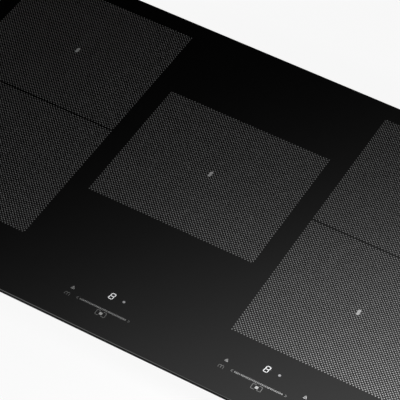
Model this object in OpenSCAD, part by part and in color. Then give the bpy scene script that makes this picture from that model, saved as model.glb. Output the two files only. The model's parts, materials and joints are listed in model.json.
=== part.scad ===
// Built-in induction hob with five rectangular cooking zones.
// Origin: centre of the glass, on the worktop plane (underside of the foam seal).
// +X right, +Y towards the back of the worktop, +Z up. All sizes in millimetres.

/* [Glass] */
// Width of the glass plate, left to right
glass_w = 780; // [720:1:940]
// Depth of the glass plate, front to back
glass_d = 520; // [500:1:630]
// Thickness of the glass plate
glass_t = 4; // [3:0.5:6]
// Radius of the plate's corners, seen from above
glass_corner_r = 6; // [3:0.5:12]
// Width of the bevel along the top edges
glass_bevel = 1; // [0.4:0.1:1.5]

/* [Worktop] */
// How far the glass reaches past the worktop cut-out, on each side
cutout_margin = 15; // [12:1:20]
// Gap between the tray wall and the edge of the cut-out
tray_gap = 7; // [5:0.5:9]
// Thickness of the foam seal under the glass edge, once pressed
seal_t = 2; // [1.6:0.1:2.5]
// Width of the foam seal
seal_w = 11; // [8:0.5:12]

/* [Cooking zones] */
// Width of one cooking zone
zone_w = 226; // [210:1:236]
// Depth of one cooking zone
zone_d = 201; // [190:1:210]
// Gap between the columns of zones
zone_gap = 27; // [20:1:50]
// Gap between the front and the back zone of a column
zone_split = 2; // [1:0.5:8]
// Distance from the back edge of the glass to the back zones
zone_back_margin = 27; // [24:1:60]

/* [Coils] */
// Width of one coil winding
winding_w = 196; // [170:1:200]
// Depth of one coil winding
winding_d = 172; // [150:1:176]
// Height of the winding
winding_t = 5; // [3:0.5:6]
// Turns in one winding
turns = 15; // [8:1:16]
// Width of the litz wire
wire_w = 3.7; // [3:0.1:3.9]
// Thickness of the ferrite bars
ferrite_t = 5; // [3:0.5:6]
// Thickness of the carrier plate
carrier_t = 1.5; // [1:0.1:2.5]
// Height of the coil springs between the deck and a carrier
spring_l = 9; // [7:0.5:10]
// Radius of the guide posts under a carrier
post_r = 3; // [2:0.1:3.5]
// Travel of a coil module when it is pressed away from the glass
coil_travel = 3; // [2:0.5:4]

/* [Housing] */
// Depth of the tray below the worktop plane
tray_depth = 52; // [43:0.5:63]
// Thickness of the steel sheet
sheet_t = 0.8; // [0.6:0.1:1.2]
// Corner radius of the tray, seen from above
tray_corner_r = 8; // [5:0.5:14]
// How far the tray's deep part stands back from its front wall
front_step = 28; // [24:1:34]
// Height of the frame's skirt
skirt_h = 10; // [8:0.5:12]
// Width of one air slot
slot_w = 4; // [3:0.2:5]
// Width of sheet left between two air slots
slot_web = 3; // [2:0.5:6]

/* [Electronics] */
// Thickness of the circuit boards
board_t = 1.6; // [1:0.1:2]
// Height of the pressed bosses that carry the boards
board_lift = 5; // [3:0.5:6]
// Radius of the fan wheels
fan_r = 36; // [28:0.5:38]
// Blades on a fan wheel
fan_blades = 24; // [12:1:30]
// Radius of the fan shafts
shaft_r = 2; // [1.5:0.1:3]

/* [Controls] */
// Distance from the front edge of the glass to the touch sliders
slider_inset = 37; // [36:0.5:44]
// Length of one touch slider
slider_l = 61; // [50:1:64]

/* [Fastening] */
// Distance of the worktop clamps from the middle of the hob
clamp_x = 246; // [200:1:270]
// Reach of a clamp arm from its screw
arm_l = 34; // [26:0.5:36]
// Width of a clamp arm
arm_w = 14; // [10:0.5:15]
// Radius of the clamp screws
screw_r = 2; // [1.5:0.1:2.5]
// Inner radius of the mains cable gland
gland_r = 6.5; // [4:0.1:7.5]

/* [Hidden] */
$fn = 48;
eps = 0.01;

// Clearances
fit_gap = 0.05;     // radial, a shaft that turns in its bore
slip_gap = 0.1;     // radial, a fastener in its hole
part_gap = 0.2;     // between sheets that slide past each other
room = 1;           // between a moving piece and what it must not reach

// Plan sizes
cutout_w = glass_w - 2 * cutout_margin;
cutout_d = glass_d - 2 * cutout_margin;
tray_w = cutout_w - 2 * tray_gap;
tray_d = cutout_d - 2 * tray_gap;
seal_inset = 1;
bead_t = 1;
bead_w = 8;
flange_out = 3;     // the frame's flange past the tray wall
flange_w = tray_w + 2 * flange_out;
flange_d = tray_d + 2 * flange_out;

// Levels, from the glass down
z_glass = seal_t;
z_flange_top = z_glass - bead_t;
z_flange = z_flange_top - sheet_t;
mica_t = 0.5;
z_mica = z_glass - mica_t;
z_winding = z_mica - winding_t;
z_ferrite = z_winding - ferrite_t;
z_carrier = z_ferrite - carrier_t;
z_deck_top = z_carrier - spring_l;
z_deck = z_deck_top - sheet_t;
post_tail = 3.5;
z_post = z_deck - post_tail;

// Levels, from the tray floor up
z_base = -tray_depth;
z_floor = z_base + sheet_t;
z_board = z_floor + board_lift;
z_board_top = z_board + board_t;
bay_top = z_post - coil_travel - room;
bay_h = bay_top - z_board_top;

// Zones: centre of each, in the order left front, left back, centre, right front, right back
column_x = zone_w + zone_gap;
back_y = glass_d / 2 - zone_back_margin - zone_d / 2;
front_y = back_y - zone_d - zone_split;
centre_y = (back_y + front_y) / 2;
zone_at = [
    [-column_x, front_y],
    [-column_x, back_y],
    [0, centre_y],
    [column_x, front_y],
    [column_x, back_y]
];

// Depth of the clamp pockets in the front and back walls
pocket_d = 20;

// Screws of the frame and of the deck
frame_screw_r = 1.4;
frame_head_r = 3;
deck_screw_r = 1.5;
deck_head_r = 3.2;

// Coil module
carrier_w = winding_w + 10;
carrier_d = winding_d + 10;
carrier_r = 16;
winding_r = 46;
turn_pitch = (winding_w - 60) / 2 / turns;
bond_t = 0.8;
post_x = carrier_w / 2 - 9;
post_y = carrier_d / 2 - 17;
sensor_r = 8;
ferrite_w = 14;

// Deck and its standoffs
deck_w = tray_w - 2 * sheet_t - 10;
deck_y0 = front_y - carrier_d / 2 + 2;
deck_y1 = tray_d / 2 - pocket_d - sheet_t - room;
standoff_x = [-deck_w / 2 + 5, -column_x / 2, column_x / 2, deck_w / 2 - 5];
standoff_y = [deck_y0 + 9, centre_y, deck_y1 - 9];

// Controls: middle of each slider
control_y = -glass_d / 2 + slider_inset;
control_x = [-column_x - 50, -column_x + 50, 0, column_x - 50, column_x + 50];
control_d = 50;
control_w = 2 * (column_x + 90);
control_mid_y = control_y + 17;
z_control_board = z_glass - 5.2 - board_t;
z_control_carrier = z_control_board - 4.2;
display_y = control_y + 22.5;

// Blowers and power electronics, right-hand side, mirrored for the left
blower_at = [column_x - 3, back_y + 14];
blower_wall = 1.6;
blower_r = fan_r + 8;
blower_h = min(26, z_deck - room - z_floor);
duct_l = 52;
z_roof = z_floor + blower_h - blower_wall;
motor_h = 6;
z_disc = z_roof - motor_h - 2;
sink_w = 40;
sink_l = 160;
sink_x = blower_at[0] + blower_r / 2;
sink_y1 = blower_at[1] - duct_l - 2;
power_w = 190;
power_d = 240;
power_at = [column_x - 3, sink_y1 - power_d / 2 - 2];
filter_w = 130;
filter_d = 120;
filter_at = [0, back_y - 12];
board_hole_inset = 8;
boss_r = 4.5;

// Terminal bay, cover and gland, on the back wall
bay_x = 36;
bay_z0 = z_base + 5;
bay_z1 = z_deck - 4;
cover_lap = 4;
cover_t = 1.6;
hinge_r = 2.2;
pin_r = 1.2;
hinge_at = [tray_d / 2 + hinge_r + part_gap, bay_z1 + cover_lap];
ear_x = bay_x + 8;
ear_t = 3;
gland_x = ear_x + ear_t + 17;
gland_z = (z_floor + z_deck) / 2;
gland_wall = 2.4;
block_y1 = tray_d / 2 - sheet_t - 15;
block_d = 22;

// Front wall of the tray's deep part
bay_front_y = -tray_d / 2 + front_step;

// Worktop clamps, back right one, mirrored for the others
CLAMPS = [[-1, -1], [1, -1], [-1, 1], [1, 1]];
pocket_x0 = -10;
pocket_x1 = arm_l + 3;
z_pocket = -16;
clamp_y = tray_d / 2 - pocket_d / 2;
head_h = 2.5;
z_head = z_base + 1;
z_nut = z_head + head_h + slip_gap;
nut_r = 4;
nut_l = 10;
nut_flange_t = 1.5;
hub_h = 8;
arm_t = 2.5;

// ---------- shared shapes ----------

// Rectangle with round corners, centred
module round_rect(w, d, r) {
    square([w - 2 * r, d], center = true);
    square([w, d - 2 * r], center = true);
    for (x = [-1, 1], y = [-1, 1])
        translate([x * (w / 2 - r), y * (d / 2 - r)])
            circle(r);
}

// Slab with round corners from level z0 to level z1
module slab(w, d, r, z0, z1) {
    translate([0, 0, z0])
        linear_extrude(z1 - z0)
            round_rect(w, d, r);
}

// Rectangular ring from level z0 to level z1, its band of the given width lying inside w by d
module ring(w, d, r, band, z0, z1) {
    translate([0, 0, z0])
        linear_extrude(z1 - z0)
            difference() {
                round_rect(w, d, r);
                round_rect(w - 2 * band, d - 2 * band, max(r - band, 1));
            }
}

// Upright cylinder from level z0 to level z1
module post(r, z0, z1) {
    translate([0, 0, z0])
        cylinder(h = z1 - z0, r = r);
}

// Upright tube from level z0 to level z1
module tube(r, bore, z0, z1) {
    difference() {
        post(r, z0, z1);
        post(bore, z0 - 1, z1 + 1);
    }
}

// Box between two corners
module block(a, b) {
    translate(a)
        cube(b - a);
}

// Outline of one slot with round ends, centred, running along X
module slot_outline(l, w) {
    square([l - w, w], center = true);
    for (x = [-1, 1])
        translate([x * (l - w) / 2, 0])
            circle(w / 2);
}

// Children placed at the middle of zone i
module at_zone(i) {
    translate([zone_at[i][0], zone_at[i][1], 0])
        children();
}

// Children placed at a coil module's four guide posts
module at_posts() {
    for (x = [-1, 1], y = [-1, 1])
        translate([x * post_x, y * post_y, 0])
            children();
}

// Children drawn as they are (side 1, right) or mirrored to the left (side -1)
module on_side(side) {
    mirror([side > 0 ? 0 : 1, 0, 0])
        children();
}

// Children of clamp c, drawn for the back right corner with the screw at the origin
module at_clamp(c) {
    mirror([CLAMPS[c][0] > 0 ? 0 : 1, 0, 0])
        mirror([0, CLAMPS[c][1] > 0 ? 0 : 1, 0])
            translate([clamp_x, clamp_y, 0])
                children();
}

// Children placed at the deck's standoffs
module at_standoffs() {
    for (x = standoff_x, y = standoff_y)
        translate([x, y, 0])
            children();
}

// Children placed at the frame screws, pointing outwards along X from the tray wall
module at_frame_screws() {
    for (s = [-1, 1]) {
        for (x = [-0.42, -0.14, 0.14, 0.42])
            translate([x * tray_w, s * tray_d / 2, z_flange - skirt_h / 2])
                rotate([0, 0, s * 90])
                    children();
        for (y = [-0.3, 0.3])
            translate([s * tray_w / 2, y * tray_d, z_flange - skirt_h / 2])
                rotate([0, 0, s > 0 ? 0 : 180])
                    children();
    }
}

// ---------- glass, seal and frame ----------

// Glass-ceramic plate with bevelled top edges
module glass_plate() {
    color("#111113")
        difference() {
            slab(glass_w, glass_d, glass_corner_r, z_glass, z_glass + glass_t);
            for (s = [-1, 1]) {
                translate([0, s * glass_d / 2, z_glass + glass_t])
                    rotate([45, 0, 0])
                        cube([glass_w + 2, glass_bevel * sqrt(2), glass_bevel * sqrt(2)], center = true);
                translate([s * glass_w / 2, 0, z_glass + glass_t])
                    rotate([0, 45, 0])
                        cube([glass_bevel * sqrt(2), glass_d + 2, glass_bevel * sqrt(2)], center = true);
            }
        }
}

// Foam tape between the glass edge and the worktop
module worktop_seal() {
    color("#2c2c2c")
        ring(glass_w - 2 * seal_inset, glass_d - 2 * seal_inset, glass_corner_r - seal_inset,
            seal_w, 0, seal_t);
}

// Silicone bead that bonds the glass to the frame
module adhesive_bead() {
    color("#3a3a3c")
        ring(flange_w, flange_d, tray_corner_r, bead_w, z_flange_top, z_glass);
}

// Steel frame: a flange under the glass and a skirt round the tray
module support_frame() {
    skirt_w = tray_w + 2 * part_gap + 2 * sheet_t;
    skirt_d = tray_d + 2 * part_gap + 2 * sheet_t;
    color("#b9bcbf")
        difference() {
            union() {
                ring(flange_w, flange_d, tray_corner_r, bead_w, z_flange, z_flange_top);
                ring(skirt_w, skirt_d, tray_corner_r, sheet_t, z_flange - skirt_h, z_flange + sheet_t / 2);
            }
            at_frame_screws()
                rotate([0, 90, 0])
                    cylinder(h = 10, r = frame_screw_r + slip_gap, center = true);
        }
}

// Pan-head screws through the skirt into the tray wall
module frame_screws() {
    color("#8f9295")
        at_frame_screws() {
            rotate([0, 90, 0])
                translate([0, 0, -3])
                    cylinder(h = 3 + part_gap + sheet_t + eps, r = frame_screw_r);
            rotate([0, 90, 0])
                translate([0, 0, part_gap + sheet_t])
                    difference() {
                        cylinder(h = 1.4, r = frame_head_r);
                        translate([0, 0, 1.3])
                            cube([3.6, 0.7, 1.4], center = true);
                        translate([0, 0, 1.3])
                            cube([0.7, 3.6, 1.4], center = true);
                    }
        }
}

// ---------- tray ----------

// Shelf and wall of the step along the front, inside the tray's outline
module step_walls() {
    intersection() {
        slab(tray_w, tray_d, tray_corner_r, z_base, z_flange);
        block([-tray_w, -tray_d, z_base], [tray_w, bay_front_y + sheet_t, z_pocket + sheet_t]);
    }
}

// Walls and ceiling round one of the back clamp pockets
module pocket_walls() {
    block([pocket_x0 - sheet_t, -pocket_d / 2 - sheet_t, z_base],
        [pocket_x1 + sheet_t, pocket_d / 2, z_pocket + sheet_t]);
}

// Space inside one of the back clamp pockets
module pocket_space() {
    block([pocket_x0, -pocket_d / 2, z_base - 1], [pocket_x1, pocket_d / 2 + 1, z_pocket]);
}

// Air slots under one fan wheel, shortened to follow the wheel's circle
module intake_slots() {
    pitch = slot_w + slot_web;
    count = ceil((fan_r - 4) / pitch) - 1;
    for (i = [-count : count])
        translate([blower_at[0], blower_at[1] + i * pitch, z_base - 1])
            linear_extrude(sheet_t + 2)
                slot_outline(2 * sqrt(pow(fan_r - 4, 2) - pow(i * pitch, 2)) + slot_w, slot_w);
}

// Outlet slots in the floor near the front and in the step's wall
module outlet_slots() {
    pitch = slot_w + 2 * slot_web;
    count = 24;
    l = 26;
    x0 = power_at[0] - (count - 1) / 2 * pitch;
    for (i = [0 : count - 1]) {
        for (row = [0, 1])
            translate([x0 + i * pitch, bay_front_y + 22 + row * (l + 8), z_base - 1])
                rotate([0, 0, 90])
                    linear_extrude(sheet_t + 2)
                        slot_outline(l, slot_w);
        translate([x0 + i * pitch, bay_front_y + 2, (z_floor + z_pocket) / 2])
            rotate([90, 90, 0])
                linear_extrude(4)
                    slot_outline(20, slot_w);
    }
}

// Bosses pressed up out of the floor under a board's corners
module board_bosses(at, w, d) {
    for (x = [-1, 1], y = [-1, 1])
        translate([at[0] + x * (w / 2 - board_hole_inset), at[1] + y * (d / 2 - board_hole_inset), 0])
            post(boss_r, z_floor - sheet_t / 2, z_board);
}

// Ears that carry the terminal cover's pins
module hinge_ears() {
    for (s = [-1, 1])
        translate([s * (ear_x + ear_t / 2) - ear_t / 2, tray_d / 2 - sheet_t / 2, hinge_at[1] - 2.6])
            cube([ear_t, hinge_at[0] - tray_d / 2 + sheet_t / 2 + 2.2, 5.2]);
}

// Galvanised steel tray that closes the hob underneath
module base_tray() {
    inner_w = tray_w - 2 * sheet_t;
    inner_d = tray_d - 2 * sheet_t;
    color("#c4c7c9")
        difference() {
            union() {
                difference() {
                    slab(tray_w, tray_d, tray_corner_r, z_base, z_flange);
                    slab(inner_w, inner_d, tray_corner_r - sheet_t, z_floor, z_flange + 1);
                }
                step_walls();
                for (c = [2, 3])
                    at_clamp(c)
                        pocket_walls();
                for (side = [-1, 1])
                    on_side(side)
                        board_bosses(power_at, power_w, power_d);
                board_bosses(filter_at, filter_w, filter_d);
                hinge_ears();
            }
            block([-tray_w, -tray_d, z_base - 1], [tray_w, bay_front_y, z_pocket]);
            for (c = [2, 3])
                at_clamp(c)
                    pocket_space();
            for (c = [0 : 3])
                at_clamp(c)
                    post(screw_r + slip_gap, z_pocket - 1, z_pocket + sheet_t + 1);
            for (side = [-1, 1])
                on_side(side) {
                    intake_slots();
                    outlet_slots();
                }
            block([-bay_x, tray_d / 2 - 3, bay_z0], [bay_x, tray_d / 2 + 3, bay_z1]);
            translate([0, hinge_at[0], hinge_at[1]])
                rotate([0, 90, 0])
                    cylinder(h = 2 * ear_x + 20, r = pin_r + fit_gap, center = true);
            translate([gland_x, tray_d / 2, gland_z])
                rotate([90, 0, 0])
                    cylinder(h = 6, r = gland_r + gland_wall + slip_gap, center = true);
            at_frame_screws()
                rotate([0, 90, 0])
                    cylinder(h = 10, r = frame_screw_r + slip_gap, center = true);
        }
}

// ---------- coil deck ----------

// Aluminium sheet that the coil modules stand on
module coil_deck() {
    color("#d2d4d6")
        difference() {
            block([-deck_w / 2, deck_y0, z_deck], [deck_w / 2, deck_y1, z_deck_top]);
            for (i = [0 : 4])
                at_zone(i) {
                    at_posts()
                        post(post_r + part_gap, z_deck - 1, z_deck_top + 1);
                    post(sensor_r + 4, z_deck - 1, z_deck_top + 1);
                }
            at_standoffs()
                post(deck_screw_r + slip_gap, z_deck - 1, z_deck_top + 1);
        }
}

// Pillars between the tray floor and the deck
module deck_standoffs() {
    color("#a9abad")
        at_standoffs()
            tube(4, deck_screw_r + slip_gap, z_floor, z_deck);
}

// Screws that hold the deck to its standoffs
module deck_screws() {
    color("#8f9295")
        at_standoffs() {
            post(deck_screw_r, z_deck_top - 8, z_deck_top + eps);
            difference() {
                post(deck_head_r, z_deck_top, z_deck_top + 1.6);
                block([-1.9, -0.4, z_deck_top + 0.8], [1.9, 0.4, z_deck_top + 2]);
                block([-0.4, -1.9, z_deck_top + 0.8], [0.4, 1.9, z_deck_top + 2]);
            }
        }
}

// Mica insulating sheets bonded under the glass, one over each coil
module mica_sheets() {
    color("#cbb994")
        for (i = [0 : 4])
            at_zone(i)
                difference() {
                    slab(winding_w + 6, winding_d + 6, winding_r, z_mica, z_glass);
                    post(sensor_r + 1.5, z_mica - 1, z_glass + 1);
                }
}

// ---------- coil modules ----------

// Flat winding of litz wire: nested turns on a thin bonding layer
module winding(i) {
    inner = turn_pitch * turns;
    color("#b4632d")
        at_zone(i) {
            ring(winding_w, winding_d, winding_r, inner, z_winding, z_winding + bond_t);
            for (t = [0 : turns - 1]) {
                inset = t * turn_pitch;
                ring(winding_w - 2 * inset, winding_d - 2 * inset, max(winding_r - inset, wire_w + 1),
                    wire_w, z_winding + bond_t / 2, z_mica);
            }
        }
}

// Ferrite bars under the winding
module ferrites(i) {
    reach = winding_w / 2 - 2;
    reach_y = winding_d / 2 - 2;
    color("#38393c")
        at_zone(i)
            for (s = [-1, 1]) {
                for (y = [-36, 0, 36])
                    translate([s * (reach + 34) / 2, y, z_ferrite + ferrite_t / 2])
                        cube([reach - 34, ferrite_w, ferrite_t], center = true);
                for (x = [-16, 16])
                    translate([x, s * (reach_y + 22) / 2, z_ferrite + ferrite_t / 2])
                        cube([ferrite_w, reach_y - 22, ferrite_t], center = true);
            }
}

// Moulded plate that holds the ferrites and the winding, with four guide posts
module carrier(i) {
    color("#e3ddcf")
        at_zone(i) {
            difference() {
                slab(carrier_w, carrier_d, carrier_r, z_carrier, z_ferrite);
                post(sensor_r + slip_gap, z_carrier - 1, z_ferrite + 1);
            }
            ring(carrier_w, carrier_d, carrier_r, 1.5, z_ferrite - eps, z_ferrite + 2.5);
            at_posts()
                post(post_r, z_post, z_carrier + eps);
        }
}

// Temperature sensor that touches the glass through the winding's eye
module sensor(i) {
    color("#e8e8e6")
        at_zone(i) {
            post(sensor_r, z_carrier - 3, z_glass);
            post(sensor_r + 3, z_ferrite, z_ferrite + 1.5);
        }
}

// Springs that press the coil modules against the glass
module coil_springs() {
    color("#9a9c9e")
        for (i = [0 : 4])
            at_zone(i)
                at_posts()
                    tube(post_r + 2, post_r + 0.6, z_deck_top, z_carrier);
}

// ---------- power electronics ----------

// Circuit board with holes over its bosses
module board(at, w, d) {
    translate([at[0], at[1], 0])
        difference() {
            slab(w, d, 3, z_board, z_board_top);
            for (x = [-1, 1], y = [-1, 1])
                translate([x * (w / 2 - board_hole_inset), y * (d / 2 - board_hole_inset), 0])
                    post(1.7, z_board - 1, z_board_top + 1);
        }
}

// Board that drives the coils of one side
module power_board(side) {
    color("#2f6b3a")
        on_side(side)
            board(power_at, power_w, power_d);
}

// Finned aluminium heatsink in the air stream of one blower
module heatsink(side) {
    fin_t = 1.6;
    fins = 9;
    base_t = 4;
    pitch = (sink_w - fin_t) / (fins - 1);
    color("#bfc2c4")
        on_side(side)
            translate([sink_x - sink_w / 2, sink_y1 - sink_l, z_board_top]) {
                cube([sink_w, sink_l, base_t]);
                for (i = [0 : fins - 1])
                    translate([i * pitch, 0, 0])
                        cube([fin_t, sink_l, bay_h]);
            }
}

// Power transistors standing against the heatsinks
module power_transistors() {
    color("#232427")
        for (side = [-1, 1])
            on_side(side)
                for (i = [0 : 5])
                    translate([sink_x - sink_w / 2 - 5, sink_y1 - 30 - i * 23, z_board_top])
                        cube([5, 16, bay_h * 0.9]);
}

// Resonance capacitors on the power boards
module capacitors() {
    color("#c9b03c")
        for (side = [-1, 1])
            on_side(side)
                for (i = [0 : 3])
                    translate([power_at[0] - power_w / 2 + 14, sink_y1 - 60 - i * 42, z_board_top])
                        cube([32, 20, bay_h * 0.85]);
}

// Board with the mains filter and its two connectors
module filter_board() {
    color("#2f6b3a") {
        board(filter_at, filter_w, filter_d);
        translate([-24, filter_at[1] + filter_d / 2 - 12, z_board_top - eps])
            cube([48, 9, 8]);
        translate([-13, filter_at[1] - filter_d / 2 + 3, z_board_top - eps])
            cube([26, 8, 7]);
    }
}

// Ring chokes of the mains filter
module filter_chokes() {
    core = bay_h / 2 - 2;
    color("#8a4b22")
        for (x = [-1, 1])
            translate([x * 34, filter_at[1], z_board_top + core])
                rotate_extrude()
                    translate([14, 0])
                        circle(min(core, 6));
}

// Outline of a blower's scroll, grown by g
module scroll(g) {
    circle(blower_r + g);
    translate([0, -duct_l])
        square([blower_r + g, duct_l]);
    translate([-g, -duct_l])
        square([blower_r / 2, duct_l - blower_r * 0.6]);
}

// Blower housing with its intake below, its motor above and the outlet towards the front
module blower_housing(side) {
    color("#2a2b2e")
        on_side(side)
            translate([blower_at[0], blower_at[1], 0]) {
                difference() {
                    translate([0, 0, z_floor])
                        linear_extrude(blower_h)
                            scroll(0);
                    difference() {
                        translate([0, -1, z_floor + blower_wall])
                            linear_extrude(blower_h - 2 * blower_wall)
                                scroll(-blower_wall);
                        post(fan_r / 3, z_roof - motor_h, z_roof + eps);
                    }
                    post(fan_r - 6, z_floor - 1, z_floor + blower_wall + 1);
                }
                post(shaft_r, z_floor + 4, z_roof);
            }
}

// Fan wheel with radial blades
module fan_wheel(side) {
    blade_t = 1.2;
    blade_w = 9;
    z_tip = z_floor + blower_wall + room;
    color("#3c3e42")
        on_side(side)
            translate([blower_at[0], blower_at[1], 0])
                difference() {
                    union() {
                        post(fan_r, z_disc, z_disc + 1.5);
                        post(fan_r / 4, z_disc - 8, z_disc + 1);
                        for (i = [0 : fan_blades - 1])
                            rotate([0, 0, i * 360 / fan_blades])
                                translate([fan_r - blade_w - 0.5, -blade_t / 2, z_tip])
                                    cube([blade_w, blade_t, z_disc - z_tip + 0.5]);
                    }
                    post(shaft_r + fit_gap, z_tip - 9, z_disc + 9);
                }
}

// ---------- controls ----------

// Board behind the touch controls
module control_board() {
    color("#1f5a33")
        translate([0, control_mid_y, 0])
            slab(control_w - 8, control_d - 6, 2, z_control_board, z_control_board + board_t);
}

// Moulded tray that carries the control board, on legs down to the floor
module control_carrier() {
    leg_x = [-column_x + 50, -60, 60, column_x - 50];
    color("#3a3b3e")
        translate([0, control_mid_y, 0]) {
            slab(control_w, control_d, 3, z_control_carrier, z_control_carrier + 1.2);
            ring(control_w, control_d, 3, 1.2, z_control_carrier + 1, z_control_board + board_t);
            for (x = leg_x) {
                translate([x, 8, 0])
                    post(4, z_floor, z_control_carrier + eps);
                translate([x, 8, 0])
                    post(3, z_control_carrier + 1, z_control_board);
            }
        }
}

// Contact springs between the control board and the glass, under each slider
module touch_springs() {
    pads = 5;
    pad_r = 3;
    pad_bore = 2.4;
    select_x = -46;
    pitch = (slider_l - 2 * pad_r) / (pads - 1);
    color("#b08d57")
        for (x = control_x)
            translate([x, control_y, 0]) {
                for (i = [0 : pads - 1])
                    translate([(i - (pads - 1) / 2) * pitch, 0, 0])
                        tube(pad_r, pad_bore, z_control_board + board_t, z_glass);
                translate([select_x, 0, 0])
                    tube(pad_r, pad_bore, z_control_board + board_t, z_glass);
            }
}

// Figure displays behind the glass, one for each zone
module display_modules() {
    color("#1a1a1c")
        for (x = control_x)
            translate([x, display_y, z_control_board + board_t])
                linear_extrude(z_glass - z_control_board - board_t - part_gap)
                    square([12, 17], center = true);
}

// ---------- mains connection ----------

// Terminal block for the mains cable
module terminal_block() {
    poles = 5;
    pitch = 12;
    h = bay_z1 - bay_z0 - 4;
    color("#e9e6dc")
        difference() {
            block([-poles * pitch / 2, block_y1 - block_d, z_floor],
                [poles * pitch / 2, block_y1, z_floor + h]);
            for (i = [0 : poles - 1])
                translate([(i - (poles - 1) / 2) * pitch, block_y1 - block_d / 2, 0]) {
                    translate([0, block_d / 2 + 1, z_floor + h / 2])
                        rotate([90, 0, 0])
                            cylinder(h = 9, r = 3);
                    post(2.6, z_floor + h * 0.75, z_floor + h + 1);
                }
        }
}

// Hinged cover over the terminal bay
module terminal_cover() {
    y0 = tray_d / 2 + part_gap + 0.1;
    z_lip = bay_z0 - cover_lap + 1;
    color("#3d3f42") {
        block([-bay_x - cover_lap, y0, z_lip], [bay_x + cover_lap, y0 + cover_t, hinge_at[1]]);
        block([-8, y0 + cover_t - eps, z_lip], [8, y0 + cover_t + 2, z_lip + 2]);
        translate([0, hinge_at[0], hinge_at[1]])
            rotate([0, 90, 0]) {
                cylinder(h = 2 * ear_x - 1, r = hinge_r, center = true);
                cylinder(h = 2 * (ear_x + ear_t), r = pin_r, center = true);
            }
    }
}

// Cable gland in the back wall
module cable_gland() {
    body_r = gland_r + gland_wall;
    color("#4a4c50")
        translate([gland_x, tray_d / 2, gland_z])
            rotate([-90, 0, 0])
                difference() {
                    union() {
                        translate([0, 0, -10])
                            cylinder(h = 13.5, r = body_r);
                        cylinder(h = 2.2, r = body_r + 2.2);
                        translate([0, 0, -sheet_t - 5])
                            cylinder(h = 5, r = body_r + 2.6, $fn = 6);
                    }
                    translate([0, 0, -11])
                        cylinder(h = 16, r = gland_r);
                }
}

// Mains wires from the block to the filter board, and the flat cable to the control board
module wiring() {
    wire_r = 1.3;
    y_pins = filter_at[1] + filter_d / 2 - 3;
    y_flat = filter_at[1] - filter_d / 2 + 3;
    y_rise = control_mid_y + control_d / 2 - 12;
    z_flat = z_board_top + 2.5;
    colors = ["#7a4a21", "#202022", "#8d8f92", "#2b5fb0", "#5da33a"];
    for (i = [0 : 4])
        color(colors[i])
            translate([(i - 2) * 9, y_pins, z_board_top + 4])
                rotate([-90, 0, 0])
                    cylinder(h = block_y1 - block_d - y_pins, r = wire_r);
    color("#9aa0a6") {
        block([-10, y_rise, z_flat], [10, y_flat, z_flat + 0.8]);
        block([-10, y_rise, z_flat], [10, y_rise + 0.8, z_control_carrier]);
    }
}

// ---------- worktop clamps ----------

// Screws that the clamp nuts climb, hanging in the pockets' ceilings
module clamp_screws() {
    color("#8f9295")
        for (c = [0 : 3])
            at_clamp(c) {
                post(screw_r, z_head + head_h - eps, z_pocket + sheet_t + 1.2);
                difference() {
                    post(4.2, z_head, z_head + head_h);
                    block([-2.6, -0.5, z_head - 1], [2.6, 0.5, z_head + 1.3]);
                    block([-0.5, -2.6, z_head - 1], [0.5, 2.6, z_head + 1.3]);
                }
                post(4, z_pocket + sheet_t, z_pocket + sheet_t + 0.8);
            }
}

// Flanged nut that climbs its clamp screw
module clamp_nut(c) {
    color("#c8a25a")
        at_clamp(c)
            difference() {
                union() {
                    post(nut_r, z_nut, z_nut + nut_l);
                    post(nut_r + 2, z_nut, z_nut + nut_flange_t);
                }
                post(screw_r + fit_gap, z_nut - 1, z_nut + nut_l + 1);
            }
}

// Arm that swings out under the worktop, stowed along the tray wall
module clamp_arm(c) {
    z_hub = z_nut + nut_flange_t + slip_gap;
    z_top = z_hub + hub_h;
    color("#aeb1b4")
        at_clamp(c)
            difference() {
                union() {
                    post(arm_w / 2, z_hub, z_top);
                    block([0, -arm_w / 2, z_top - arm_t], [arm_l - 2, arm_w / 2, z_top]);
                    block([arm_l - 2 - eps, -arm_w / 2, z_top - arm_t - 4], [arm_l, arm_w / 2, z_top]);
                    block([2, -1, z_hub + 2], [arm_l - 4, 1, z_top - eps]);
                }
                post(nut_r + fit_gap, z_hub - 1, z_top + 1);
            }
}

// ---------- nodes ----------

glass_plate();
worktop_seal();
adhesive_bead();
support_frame();
base_tray();
frame_screws();
coil_deck();
deck_standoffs();
deck_screws();
mica_sheets();
winding(0);  // winding_left_front
winding(1);  // winding_left_back
winding(2);  // winding_centre
winding(3);  // winding_right_front
winding(4);  // winding_right_back
ferrites(0);  // ferrites_left_front
ferrites(1);  // ferrites_left_back
ferrites(2);  // ferrites_centre
ferrites(3);  // ferrites_right_front
ferrites(4);  // ferrites_right_back
carrier(0);  // carrier_left_front
carrier(1);  // carrier_left_back
carrier(2);  // carrier_centre
carrier(3);  // carrier_right_front
carrier(4);  // carrier_right_back
sensor(0);  // sensor_left_front
sensor(1);  // sensor_left_back
sensor(2);  // sensor_centre
sensor(3);  // sensor_right_front
sensor(4);  // sensor_right_back
coil_springs();
power_board(-1);  // power_board_left
power_board(1);  // power_board_right
heatsink(-1);  // heatsink_left
heatsink(1);  // heatsink_right
power_transistors();
capacitors();
filter_board();
filter_chokes();
blower_housing(-1);  // blower_housing_left
blower_housing(1);  // blower_housing_right
fan_wheel(-1);  // fan_wheel_left
fan_wheel(1);  // fan_wheel_right
control_board();
control_carrier();
touch_springs();
display_modules();
terminal_block();
terminal_cover();
cable_gland();
wiring();
clamp_screws();
clamp_nut(0);  // clamp_nut_front_left
clamp_nut(1);  // clamp_nut_front_right
clamp_nut(2);  // clamp_nut_back_left
clamp_nut(3);  // clamp_nut_back_right
clamp_arm(0);  // clamp_arm_front_left
clamp_arm(1);  // clamp_arm_front_right
clamp_arm(2);  // clamp_arm_back_left
clamp_arm(3);  // clamp_arm_back_right
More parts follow.
